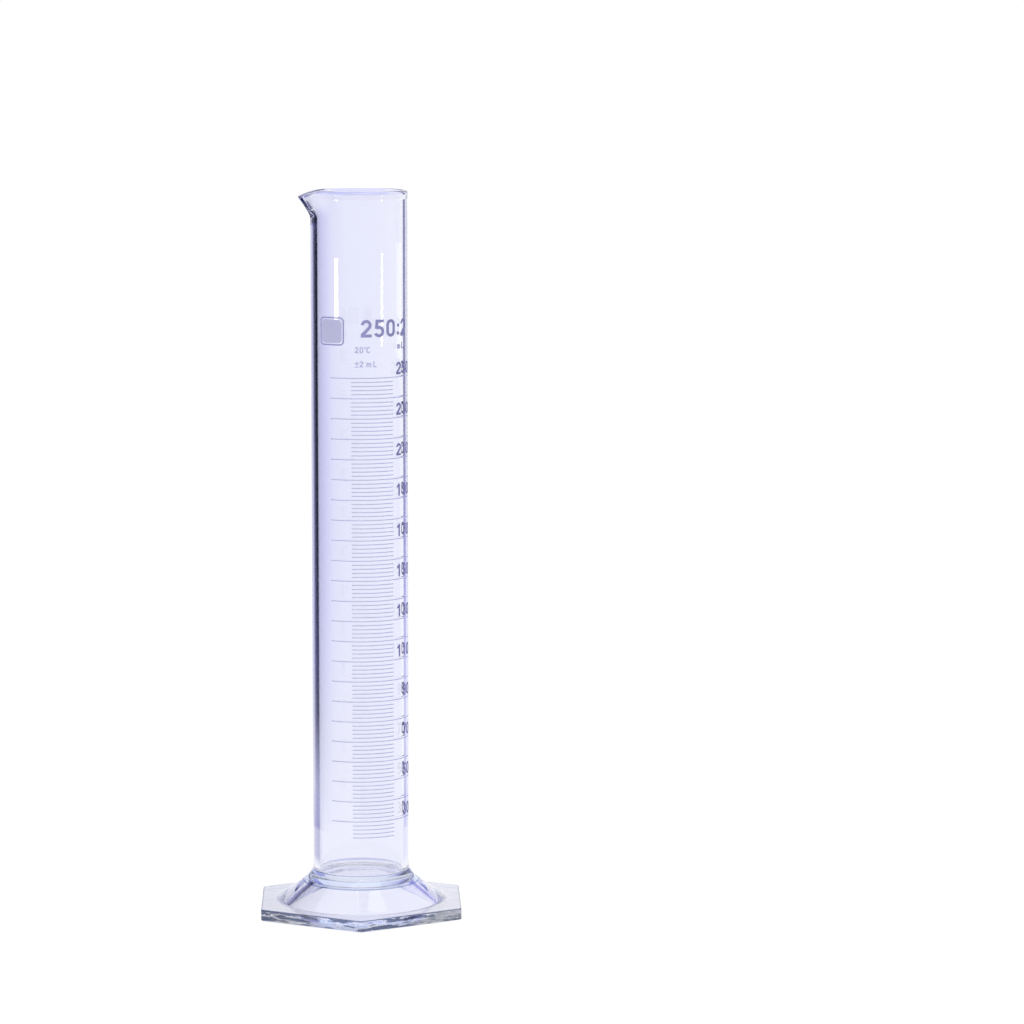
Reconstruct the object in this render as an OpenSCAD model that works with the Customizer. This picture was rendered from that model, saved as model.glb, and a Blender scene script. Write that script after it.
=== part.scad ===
// Graduated cylinder, 250 mL in 2 mL divisions: a drawn glass tube with a pouring spout,
// sealed by a ring of melted glass to a pressed hexagonal foot, with its scale fired on in enamel.
// Millimetres, +Z up, origin on the tube's axis at table level.
// The scale faces -Y and its numbers wrap towards +X. The spout points to -X.

/* [Tube] */
// Outside diameter of the measuring tube
tube_od = 42.8; // [38:0.1:56]
// Thickness of the tube's wall
tube_wall = 2.5; // [1.6:0.1:3]
// Thickness of the tube's floor
floor_t = 2.8; // [1.8:0.1:5]
// Radius of the inside corner between wall and floor
floor_corner_r = 3.3; // [1:0.1:6]
// Radius of the outside corner at the tube's heel
heel_r = 4; // [2:0.1:5]
// Height of the rim above the topmost line of the scale
headroom = 81; // [50:0.1:120]
// How far the fire-polished rim stands proud of the wall
rim_proud = 0.2; // [0.05:0.05:0.5]

/* [Spout] */
// Reach of the spout beyond the tube's wall
spout_reach = 5.5; // [3:0.1:8]
// Height over which the spout grows out of the wall
spout_h = 12.1; // [8:0.1:18]
// How far the spout's tip droops below the rim
spout_droop = 2.6; // [0.5:0.1:4]
// Thickness of the glass at the spout, which thins as it is drawn out
spout_wall = 2; // [1.4:0.1:3]
// Inside radius of the groove at the spout's tip
spout_groove_r = 0.8; // [0.5:0.1:2]

/* [Foot] */
// Height of the seat that carries the tube
seat_h = 13.5; // [11:0.1:20]
// Width of the seal ring on the seat, outside the tube
seal_leg = 4.7; // [3:0.05:7]
// Height of the seal ring on the tube's wall, above the seat
seal_h = 5.5; // [4.5:0.1:9]
// Radius of the seal ring's hollow face
seal_face_r = 12.6; // [10:0.1:20]
// Horizontal run of the foot's cone, from the seat out to the flange
cone_run = 11.4; // [8:0.1:16]
// Width of the flange between the cone and the middle of each flat
flange_land = 6.7; // [4:0.1:12]
// Thickness of the hexagonal flange
flange_t = 5.1; // [3:0.1:7]
// Radius of the flange's six corners
flange_corner_r = 2.5; // [1:0.1:6]
// Bevel on the flange's edges
flange_bevel = 0.6; // [0.2:0.1:1.2]
// Glass between the seat and the ceiling of the hollow underneath
ceiling_t = 2.3; // [1.5:0.1:4]
// Glass between the cone's top edge and the edge of that ceiling
cone_top_wall = 6; // [4:0.1:8]
// Glass between the cone's base and the mouth of the hollow
cone_base_wall = 5.6; // [4:0.1:8]

/* [Scale] */
// Thickness of the fired enamel
enamel_t = 0.06; // [0.03:0.01:0.15]
// Width of each line
line_w = 0.35; // [0.2:0.05:0.6]
// Length of a 2 mL line, along the wall
minor_len = 19.7; // [10:0.1:22]
// How far a 10 mL line starts before the 2 mL lines
major_lead = 9.9; // [3:0.1:14]
// Space between the 2 mL lines and the figures
column_gap = 2.8; // [1:0.1:6]
// Turn from the front to the right-hand edge of the figures, in degrees
scale_right = 81.5; // [60:0.5:90]

/* [Figures] */
// Height of the figures
figure_h = 5.4; // [3:0.1:7]
// Space between a line and the figure above it
figure_gap = 1.1; // [0.6:0.1:3]
// Height of the capacity inscription
capacity_h = 7.7; // [5:0.1:9]
// Inset of the capacity inscription from the figures' right-hand edge
capacity_inset = 3.3; // [0:0.1:6]
// Height of the small notes
note_h = 2.7; // [1.8:0.1:3.4]
// Height of the lower note above the topmost line
note_rise = 4.8; // [3:0.1:8]
// Space between the two rows of notes
note_gap = 3.5; // [1:0.1:6]
// Space between the notes and the capacity inscription
capacity_gap = 4.1; // [3:0.1:8]

/* [Marking patch] */
// Side of the plain patch for a pencil mark
patch_side = 12.4; // [8:0.5:14]
// Corner radius of the patch
patch_corner_r = 2; // [1:0.1:3.5]
// Width of the patch's border
patch_border = 0.6; // [0.3:0.1:1.2]
// Space between the border and the patch inside it
patch_gap = 0.5; // [0.3:0.1:1.2]
// Space between the patch and the capacity inscription
patch_clear = 7.5; // [2:0.1:10]

/* [Hidden] */
// Numbering of the scale, in millilitres
top_ml = 250;
last_figure_ml = 30;
last_line_ml = 22;
major_ml = 10;
minor_ml = 2;
figure_ml = 2 * major_ml;
figures = [for (ml = [top_ml:-figure_ml:last_figure_ml]) ml];

// Tube
tube_r = tube_od / 2;
bore_r = tube_r - tube_wall;
bore_area = PI * bore_r * bore_r;
floor_z = seat_h + floor_t;
// The rounded inside corner takes a little volume, which lifts the scale's zero above the floor
corner_area = (1 - PI / 4) * floor_corner_r * floor_corner_r;
corner_centroid = bore_r - 0.2234 * floor_corner_r;
zero_z = floor_z + corner_area * 2 * PI * corner_centroid / bore_area;
mm_per_ml = 1000 / bore_area;
top_line_z = zero_z + top_ml * mm_per_ml;
rim_z = top_line_z + headroom;
rim_r = (tube_wall + rim_proud) / 2;
rim_centre = [bore_r + rim_r, rim_z - rim_r];

// Spout
spout_lip_r = spout_groove_r + spout_wall;
spout_tip_x = tube_r + spout_reach - spout_lip_r;
spout_root_z = rim_z - spout_h;
// The spout's two hulls start this far inside the round walls, so that they cross them cleanly
spout_root_inset = 0.3;
hull_fn = 32;
slice = 0.02;

// Foot
neck_r = tube_r + seal_leg;
cone_base_r = neck_r + cone_run;
flat_r = cone_base_r + flange_land;
corner_r = flat_r / cos(30);
ceiling_r = neck_r - cone_top_wall;
ceiling_z = seat_h - ceiling_t;
mouth_r = cone_base_r - cone_base_wall;

// Scale
major_lines = [for (ml = [last_figure_ml:major_ml:top_ml]) ml];
minor_lines = [for (ml = [last_line_ml:minor_ml:top_ml - minor_ml])
    if (ml < last_figure_ml || ml % major_ml != 0) ml];

// Figures, drawn one unit tall
stroke = 0.175;
digit_w = 0.62;
digit_advance = 0.765;
half_w = digit_w / 2;
narrow_advance = 0.38;
m_advance = 1.12;
glyph_fn = 48;
overlap = 0.01;

figure_block = (2 * digit_advance + digit_w) * figure_h;
figure_left = scale_right - turn(figure_block);
minor_to = figure_left - turn(column_gap);
minor_from = minor_to - turn(minor_len);
major_from = minor_from - turn(major_lead);

capacity_text = "250:2";
capacity_right = scale_right - turn(capacity_inset);
capacity_left = capacity_right - turn(run(capacity_text) * capacity_h);
note_rows_z = [top_line_z + note_rise, top_line_z + note_rise + note_h + note_gap];
capacity_z = note_rows_z[1] + note_h + capacity_gap;
unit_drop = 2.8;
patch_turn = capacity_left - turn(patch_clear + patch_side / 2);
patch_z = capacity_z + capacity_h / 3;

glass = [0.86, 0.87, 0.97, 0.45];
pressed_glass = [0.82, 0.83, 0.95, 0.6];
enamel = [0.5, 0.5, 0.62];
pale_enamel = [0.72, 0.72, 0.82];

FIGURE_NODES = [for (ml = figures) str("figure_", ml)];

// Points of an arc from one angle to another
function arc(centre, r, from, to, steps = 8) =
    [for (i = [0:steps]) let (a = from + (to - from) * i / steps) centre + r * [cos(a), sin(a)]];

// Turn round the tube's axis, in degrees, of a length along its outer wall
function turn(length) = length / tube_r * 180 / PI;

// Centre of the arc of radius r that joins p to q and is hollow on the upper, outer side
function hollow_centre(p, q, r) =
    let (half = (q - p) / 2, side = [-half[1], half[0]] / norm(half))
    p + half + side * sqrt(r * r - half * half);

// Advance of one character and of a whole word, in units of its height
function advance(c) =
    c == ":" || c == "o" || c == " " ? narrow_advance :
    c == "m" ? m_advance : digit_advance;
function run(word, n = -1) =
    let (last = n < 0 ? len(word) : n)
    last == 0 ? 0 : advance(word[last - 1]) + run(word, last - 1);

// Height of a volume's line
function line_z(ml) = zero_z + ml * mm_per_ml;

// ---- Glass ----

module tube_wall_solid() {
    heel = [tube_r - heel_r, seat_h + heel_r];
    corner = [bore_r - floor_corner_r, floor_z + floor_corner_r];
    rotate_extrude($fn = 96)
        polygon(concat([[0, seat_h]],
                       arc(heel, heel_r, -90, 0),
                       [[tube_r, rim_centre[1] - rim_r]],
                       arc(rim_centre, rim_r, 0, 180, 12),
                       arc(corner, floor_corner_r, 0, -90),
                       [[0, floor_z]]));
}

// Round slices of the wall, drawn out to a small circle at the spout's tip
module spout_outside() {
    hull() {
        translate([0, 0, spout_root_z])
            cylinder(r = tube_r - spout_root_inset, h = slice, $fn = hull_fn);
        translate([0, 0, rim_z - spout_wall])
            cylinder(r = tube_r - spout_root_inset, h = spout_wall - rim_r / 2, $fn = hull_fn);
        translate([-spout_tip_x, 0, rim_z - spout_droop - spout_wall])
            cylinder(r = spout_lip_r, h = spout_wall, $fn = hull_fn);
    }
}

module spout_groove() {
    hull() {
        translate([0, 0, spout_root_z + spout_wall])
            cylinder(r = bore_r - spout_root_inset, h = spout_h, $fn = hull_fn);
        translate([-spout_tip_x, 0, rim_z - spout_droop - spout_wall / 2])
            cylinder(r = spout_groove_r, h = spout_h, $fn = hull_fn);
    }
}

module measuring_tube() {
    color(glass)
        difference() {
            union() {
                tube_wall_solid();
                difference() {
                    spout_outside();
                    translate([0, 0, spout_root_z - 1])
                        cylinder(r = bore_r + tube_wall / 2, h = spout_h + 2, $fn = 96);
                }
            }
            spout_groove();
        }
}

module seal_ring() {
    top = [tube_r, seat_h + seal_h];
    toe = [neck_r, seat_h];
    centre = hollow_centre(top, toe, seal_face_r);
    from = atan2(top[1] - centre[1], top[0] - centre[0]);
    to = atan2(toe[1] - centre[1], toe[0] - centre[0]);
    color(glass)
        rotate_extrude($fn = 96)
            polygon(concat(arc([tube_r - heel_r, seat_h + heel_r], heel_r, -90, 0),
                           arc(centre, seal_face_r, from, to)));
}

module flange() {
    corner_centre = corner_r - flange_corner_r / cos(30);
    difference() {
        linear_extrude(height = flange_t)
            polygon([for (i = [0:5]) each arc(corner_centre * [cos(60 * i - 90), sin(60 * i - 90)],
                                              flange_corner_r, 60 * i - 120, 60 * i - 60, 6)]);
        for (i = [0:5], z = [0, flange_t])
            rotate([0, 0, 60 * i])
                translate([flat_r, 0, z])
                    rotate([0, 45, 0])
                        cube([flange_bevel * sqrt(2), 2 * corner_r, flange_bevel * sqrt(2)], center = true);
    }
}

module hexagonal_foot() {
    fillet_r = flange_land / 3;
    slope = atan2(seat_h - flange_t, cone_run);
    reach = fillet_r * tan(slope / 2);
    fillet = [cone_base_r + reach, flange_t + fillet_r];
    color(pressed_glass)
        difference() {
            union() {
                flange();
                rotate_extrude($fn = 96)
                    polygon(concat([[0, 0], [fillet[0], 0]],
                                   arc(fillet, fillet_r, -90, -90 - slope, 5),
                                   [[neck_r, seat_h], [0, seat_h]]));
            }
            translate([0, 0, -1])
                rotate_extrude($fn = 96)
                    polygon([[0, 0], [mouth_r, 0], [mouth_r, 1],
                             [ceiling_r, ceiling_z + 1], [0, ceiling_z + 1]]);
        }
}

// ---- Enamel ----

// A line round the tube between two turns
module wall_line(z, from, to) {
    rotate([0, 0, from - 90])
        rotate_extrude(angle = to - from, $fn = 96)
            translate([tube_r, z - line_w / 2])
                square([enamel_t, line_w]);
}

// Lays a flat shape on the wall: its origin comes to the given turn and height
module on_wall(at, z, height) {
    intersection() {
        rotate([0, 0, at])
            translate([0, 0, z])
                rotate([90, 0, 0])
                    linear_extrude(height = tube_r + 2 * enamel_t)
                        children();
        translate([0, 0, z - height])
            difference() {
                cylinder(r = tube_r + enamel_t, h = 3 * height, $fn = 96);
                translate([0, 0, -1]) cylinder(r = tube_r, h = 3 * height + 2, $fn = 96);
            }
    }
}

// Part of a ring between two angles, less than three quarters of a turn
module ring_part(centre, r, from, to) {
    far = 2 * r;
    translate(centre)
        intersection() {
            difference() {
                circle(r = r, $fn = glyph_fn);
                circle(r = r - stroke, $fn = glyph_fn);
            }
            polygon(concat([[0, 0]], arc([0, 0], far, from, to, 6)));
        }
}

module bar(low, high) {
    translate(low) square(high - low);
}

// A ring stretched upright, as in 0 and C
module oval() {
    difference() {
        union() {
            translate([half_w, half_w]) circle(r = half_w, $fn = glyph_fn);
            translate([half_w, 1 - half_w]) circle(r = half_w, $fn = glyph_fn);
            bar([0, half_w], [digit_w, 1 - half_w]);
        }
        translate([half_w, half_w]) circle(r = half_w - stroke, $fn = glyph_fn);
        translate([half_w, 1 - half_w]) circle(r = half_w - stroke, $fn = glyph_fn);
        bar([stroke, half_w], [digit_w - stroke, 1 - half_w]);
    }
}

module digit_1() {
    stem_x = 0.44 - stroke;
    polygon([[0.06, 0.66], [0.06, 0.8], [0.29, 1], [0.44, 1], [0.44, 0], [stem_x, 0], [stem_x, 0.74]]);
}

module digit_2() {
    bowl = [half_w, 1 - half_w];
    tail_turn = -38;
    polygon(concat(arc(bowl, half_w, 178, tail_turn, 14),
                   [[stroke * 1.5, stroke], [digit_w, stroke], [digit_w, 0], [0, 0], [0, stroke * 1.1]],
                   arc(bowl, half_w - stroke, tail_turn, 178, 14)));
}

module digit_3() {
    upper_r = (1 + stroke) / 2 - half_w;
    upper = [half_w, 1 - upper_r];
    lower = [half_w, half_w];
    // Where the two bowls' outlines meet on the right
    rise = upper[1] - lower[1];
    meet_y = (rise * rise + half_w * half_w - upper_r * upper_r) / (2 * rise);
    meet_x = sqrt(half_w * half_w - meet_y * meet_y);
    nub_x = half_w - stroke / 2;
    polygon(concat(arc(upper, upper_r, 165, atan2(meet_y - rise, meet_x), 12),
                   arc(lower, half_w, atan2(meet_y, meet_x), -165, 12),
                   arc(lower, half_w - stroke, -165, 90, 12),
                   [[nub_x, 2 * half_w - stroke], [nub_x, 1 - 2 * upper_r + stroke]],
                   arc(upper, upper_r - stroke, -90, 165, 12)));
}

module digit_5() {
    bowl_r = 0.325;
    bar([0.09, 1 - stroke], [digit_w - 0.03, 1]);
    polygon([[0.09, 1], [0.09 + stroke, 1], [0.06 + stroke, 0.56], [0.04, 0.46]]);
    ring_part([digit_w - bowl_r, bowl_r], bowl_r, -158, 135);
}

module digit_7() {
    foot_x = 0.13;
    foot_w = stroke * 1.1;
    polygon([[0, 1], [digit_w, 1], [digit_w, 1 - stroke], [foot_x + foot_w, 0], [foot_x, 0],
             [digit_w - foot_w, 1 - stroke], [0, 1 - stroke]]);
}

module digit_9() {
    bowl = [half_w, 1 - half_w];
    difference() {
        translate(bowl) circle(r = half_w, $fn = glyph_fn);
        translate(bowl) circle(r = half_w - stroke, $fn = glyph_fn);
    }
    bar([digit_w - stroke, half_w], [digit_w, 1 - half_w]);
    ring_part([half_w, half_w], half_w, -160, 2);
}

module letter_m() {
    x_height = 0.72;
    arch_r = 0.235;
    thin = stroke * 0.9;
    bar([0, 0], [thin, x_height]);
    for (x = [arch_r, 3 * arch_r - thin]) {
        translate([x, x_height - arch_r])
            intersection() {
                difference() {
                    circle(r = arch_r, $fn = glyph_fn);
                    circle(r = arch_r - thin, $fn = glyph_fn);
                }
                bar([-arch_r, -overlap], [arch_r, arch_r]);
            }
        bar([x + arch_r - thin, 0], [x + arch_r, x_height - arch_r]);
    }
}

module letter_c() {
    top = [half_w, 1 - half_w];
    bottom = [half_w, half_w];
    end_turn = 15;
    polygon(concat(arc(top, half_w, end_turn, 180), arc(bottom, half_w, 180, 360 - end_turn),
                   arc(bottom, half_w - stroke, 360 - end_turn, 180),
                   arc(top, half_w - stroke, 180, end_turn)));
}

module glyph(c) {
    if (c == "0") oval();
    if (c == "1") digit_1();
    if (c == "2") digit_2();
    if (c == "3") digit_3();
    if (c == "5") digit_5();
    if (c == "7") digit_7();
    if (c == "9") digit_9();
    if (c == "m") letter_m();
    if (c == "C") letter_c();
    if (c == "L") {
        bar([0, 0], [stroke, 1]);
        bar([0, 0], [digit_w * 0.85, stroke]);
    }
    if (c == ":")
        for (y = [0.1, 0.55]) bar([0.05, y], [0.05 + stroke, y + stroke]);
    if (c == "o")
        translate([stroke, 1 - stroke])
            difference() {
                circle(r = stroke, $fn = glyph_fn);
                circle(r = stroke / 2, $fn = glyph_fn);
            }
    if (c == "+") {
        bar([half_w - stroke / 2, 0.3], [half_w + stroke / 2, 0.9]);
        bar([0, 0.6 - stroke / 2], [digit_w, 0.6 + stroke / 2]);
        bar([0, 0], [digit_w, stroke * 0.8]);
    }
}

// A word on the wall, each character turned to face outwards
module wall_word(word, left, z, height) {
    for (i = [0:len(word) - 1])
        if (word[i] != " ")
            on_wall(left + turn((run(word, i) + advance(word[i]) / 2) * height), z, height)
                translate([-advance(word[i]) / 2 * height, 0])
                    scale(height)
                        glyph(word[i]);
}

module figure(ml) {
    word = str(ml);
    left = scale_right - turn(run(word) * figure_h);
    color(enamel) wall_word(word, left, line_z(ml) + figure_gap, figure_h);
}

module rounded_square(side, r) {
    s = side / 2 - r;
    polygon([for (i = [0:3]) each arc([s, s] + [i == 1 || i == 2 ? -2 * s : 0, i > 1 ? -2 * s : 0],
                                      r, 90 * i, 90 * i + 90, 6)]);
}

module major_graduations() {
    color(enamel) for (ml = major_lines) wall_line(line_z(ml), major_from, scale_right - 2);
}

module minor_graduations() {
    color(enamel) for (ml = minor_lines) wall_line(line_z(ml), minor_from, minor_to);
}

module capacity_inscription() {
    color(enamel) wall_word(capacity_text, capacity_left, capacity_z, capacity_h);
}

module unit_mark() {
    color(enamel) wall_word("mL", figure_left, capacity_z - unit_drop - note_h, note_h);
}

module temperature_note() {
    color(enamel) wall_word("20oC", capacity_left - turn(note_h), note_rows_z[1], note_h);
}

module tolerance_note() {
    color(enamel) wall_word("+2 mL", capacity_left - turn(note_h), note_rows_z[0], note_h);
}

module marking_patch() {
    inner_side = patch_side - 2 * (patch_border + patch_gap);
    color(pale_enamel)
        on_wall(patch_turn, patch_z, patch_side)
            rounded_square(inner_side, patch_corner_r * inner_side / patch_side);
}

module patch_border() {
    color(enamel)
        on_wall(patch_turn, patch_z, patch_side)
            difference() {
                rounded_square(patch_side, patch_corner_r);
                rounded_square(patch_side - 2 * patch_border, patch_corner_r - patch_border);
            }
}

measuring_tube();
seal_ring();
hexagonal_foot();
major_graduations();
minor_graduations();
capacity_inscription();
unit_mark();
temperature_note();
tolerance_note();
marking_patch();
patch_border();
for (ml = figures)
    figure(ml);
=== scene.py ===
"""Graduated cylinder: blown and pressed glass with a scale fired on in enamel.

Laid out as an add-on and run as a script. Metres, +Z up, the tube's axis on Z at the origin,
the table at Z = 0. The scale faces -Y and the spout points to -X.
"""

import math

import bpy
from bpy.props import FloatProperty, FloatVectorProperty, IntProperty, PointerProperty
from mathutils import Euler, Matrix, Vector


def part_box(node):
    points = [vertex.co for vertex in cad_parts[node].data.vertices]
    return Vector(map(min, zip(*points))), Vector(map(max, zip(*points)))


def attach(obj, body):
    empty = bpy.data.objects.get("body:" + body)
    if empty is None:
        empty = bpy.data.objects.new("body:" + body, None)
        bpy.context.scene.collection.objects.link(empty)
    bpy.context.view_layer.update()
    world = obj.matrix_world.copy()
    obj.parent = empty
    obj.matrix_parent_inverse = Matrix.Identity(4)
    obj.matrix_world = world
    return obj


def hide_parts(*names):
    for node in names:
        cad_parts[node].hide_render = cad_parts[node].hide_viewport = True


bl_info = {
    "name": "Graduated Cylinder",
    "version": (1, 0, 0),
    "blender": (4, 5, 0),
    "location": "3D View > Sidebar > Glassware",
    "description": "Fuses the glass, fires the enamel scale and sets the stage",
    "category": "Object",
}

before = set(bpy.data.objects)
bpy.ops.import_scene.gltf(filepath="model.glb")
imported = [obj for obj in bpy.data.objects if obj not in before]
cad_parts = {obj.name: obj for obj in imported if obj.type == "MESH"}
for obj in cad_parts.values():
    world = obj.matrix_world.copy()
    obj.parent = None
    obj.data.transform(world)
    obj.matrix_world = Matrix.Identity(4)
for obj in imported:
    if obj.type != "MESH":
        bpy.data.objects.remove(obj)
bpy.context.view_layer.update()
MM = 0.001
# Points nearer than this are merged
MERGE = 0.004 * MM
# Left clear of a ring of points, so that rounding doesn't sort it to the wrong side
HAIR = 0.01 * MM

TUBE_LOW, TUBE_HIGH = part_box("measuring_tube")
SEAL_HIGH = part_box("seal_ring")[1]
FOOT_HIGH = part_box("hexagonal_foot")[1]

# The flange's thickness, the share of its land that stays round, and its corners' least radius
FLANGE_TOP = 5.1 * MM
ROUND_LAND = 0.42
LEAST_BEND = 0.1 * MM
# Straight glass that is kept beside a rounded corner
CORNER_STRAIGHT = 0.4 * MM
# How far round from its tip the spout pulls the wall, and how softly it leaves the wall
SPOUT_SPREAD = math.radians(56)
SPOUT_SOFT_ROOT = 0.15
SMOOTH_ANGLE = math.radians(28)

# Where one kind of glass ends on the vessel and the next begins
RIM_DEPTH = 1.6 * MM
SEAL_LAP = 0.3 * MM
SEAL_BITE = 0.4 * MM
PUNT_RADIUS = 17.5 * MM
PUNT_RISE = 4 * MM
GROUND_RADIUS = 34 * MM
GROUND_RISE = 0.3 * MM
EDGE_RADIUS = 43 * MM
UPRIGHT = 0.97

GLASS_IOR = 1.5
# Where along X the enamel is drawn darkest, painted shade towards +X, and how far a worn patch
# thins it
PAINTED_SHADE_X = 16.5 * MM
WORN_SHARE = 0.35

FLOOR_RADIUS = 40
FLOOR_GAP = 0.2 * MM
FLOOR_GREY = 0.08
FLOOR_GLOW = 0.95
STRIP_HEIGHT = 0.176
SENSOR_WIDTH = 36
# Light turns round often inside thick glass before it comes out
LIGHT_BOUNCES = 300
# The cards' steps, and how many faces a ray may have passed to take a card's edge colour
CARD_ROWS = 24
CARD_STEPS = 720
FEW_FACES = 3
# How grey the cards' painted shade is: when thin, at each height; what thickness adds; and on the
# right
THIN_SHADE = [(0.045, 0.45), (0.085, 0.25)]
THICK_SHADE = 0.65
RIGHT_SHADE = 0.55
# Tables of a card that lets everything through
NOWHERE = [(0, 0.0)]
CLEAR = ([(0, 1.0)], NOWHERE, NOWHERE)

FIGURE_NODES = tuple(f"figure_{volume}" for volume in range(250, 29, -20))
LINE_NODES = ("major_graduations", "minor_graduations", "temperature_note", "tolerance_note")
WORD_NODES = ("capacity_inscription", "unit_mark", "patch_border")


# ---- Settings ----


class TubeSettings(bpy.types.PropertyGroup):
    """Sizes of the drawn tube, its rim and its spout"""

    wall: FloatProperty(
        name="Wall", description="Thickness of the tube's wall", default=3 * MM, min=1.5 * MM,
        max=3.5 * MM, subtype="DISTANCE", unit="LENGTH")
    rim_proud: FloatProperty(
        name="Rim stands proud", description="How far the rim stands out of the wall",
        default=0.2 * MM, min=0, max=0.5 * MM, subtype="DISTANCE", unit="LENGTH")
    rim_blend: FloatProperty(
        name="Rim blend", description="Height over which the wall swells into the rim",
        default=2.2 * MM, min=0.5 * MM, max=6 * MM, subtype="DISTANCE", unit="LENGTH")
    floor_thickness: FloatProperty(
        name="Floor", description="Thickness of the tube's floor above the seat", default=2.8 * MM,
        min=1.8 * MM, max=5 * MM, subtype="DISTANCE", unit="LENGTH")
    floor_corner: FloatProperty(
        name="Floor corner", description="Radius of the inside corner between wall and floor",
        default=2.4 * MM, min=1 * MM, max=6 * MM, subtype="DISTANCE", unit="LENGTH")
    spout_height: FloatProperty(
        name="Spout height", description="Height over which the spout grows out of the wall",
        default=12.3 * MM, min=8 * MM, max=18 * MM, subtype="DISTANCE", unit="LENGTH")
    spout_centre: FloatProperty(
        name="Spout centre", description="Distance of the groove's centre at the tip from the axis",
        default=20.9 * MM, min=19 * MM, max=27 * MM, subtype="DISTANCE", unit="LENGTH")
    spout_groove: FloatProperty(
        name="Spout groove", description="Inside radius of the groove at the tip", default=4.7 * MM,
        min=0.5 * MM, max=6 * MM, subtype="DISTANCE", unit="LENGTH")
    spout_wall: FloatProperty(
        name="Spout wall", description="Thickness of the glass at the tip", default=1.3 * MM,
        min=1 * MM, max=3 * MM, subtype="DISTANCE", unit="LENGTH")
    spout_droop: FloatProperty(
        name="Spout droop", description="How far the tip droops below the rim", default=2.6 * MM,
        min=0.5 * MM, max=4 * MM, subtype="DISTANCE", unit="LENGTH")
    steps: IntProperty(
        name="Steps", description="Steps round the axis, a multiple of twelve", default=384, min=96,
        max=480)


class FootSettings(bpy.types.PropertyGroup):
    """Sizes of the seal and of the pressed foot"""

    seal_face: FloatProperty(
        name="Seal face", description="Radius of the seal's hollow face", default=12.6 * MM,
        min=10 * MM, max=20 * MM, subtype="DISTANCE", unit="LENGTH")
    toe_crease: FloatProperty(
        name="Crease at the seal's toe", description="Radius of the crease between seal and cone",
        default=0.35 * MM, min=0.1 * MM, max=1 * MM, subtype="DISTANCE", unit="LENGTH")
    cone_run: FloatProperty(
        name="Cone run", description="Horizontal run of the cone from the seat to the flange",
        default=11.4 * MM, min=8 * MM, max=16 * MM, subtype="DISTANCE", unit="LENGTH")
    flange: FloatProperty(
        name="Flange", description="Thickness of the hexagonal flange", default=FLANGE_TOP,
        min=3 * MM, max=7 * MM, subtype="DISTANCE", unit="LENGTH")
    flange_corner: FloatProperty(
        name="Flange corner", description="Radius of the flange's six corners", default=2.5 * MM,
        min=1 * MM, max=6 * MM, subtype="DISTANCE", unit="LENGTH")
    flange_edge: FloatProperty(
        name="Flange edge", description="Radius of the flange's melted edges", default=0.7 * MM,
        min=0.2 * MM, max=1.2 * MM, subtype="DISTANCE", unit="LENGTH")
    ceiling: FloatProperty(
        name="Ceiling", description="Glass between the seat and the hollow underneath",
        default=2.3 * MM, min=1.5 * MM, max=4 * MM, subtype="DISTANCE", unit="LENGTH")
    ceiling_round: FloatProperty(
        name="Ceiling round", description="Radius between the hollow's ceiling and its side",
        default=1.6 * MM, min=0.5 * MM, max=3 * MM, subtype="DISTANCE", unit="LENGTH")
    mouth_round: FloatProperty(
        name="Mouth round", description="Radius between the hollow's side and the underside",
        default=0.8 * MM, min=0.2 * MM, max=2 * MM, subtype="DISTANCE", unit="LENGTH")
    cone_top_wall: FloatProperty(
        name="Wall at the cone's top", description="Glass between the cone's top and the hollow",
        default=6 * MM, min=4 * MM, max=8 * MM, subtype="DISTANCE", unit="LENGTH")
    cone_base_wall: FloatProperty(
        name="Wall at the cone's base", description="Glass between the cone's base and the hollow",
        default=5.6 * MM, min=4 * MM, max=8 * MM, subtype="DISTANCE", unit="LENGTH")


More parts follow.
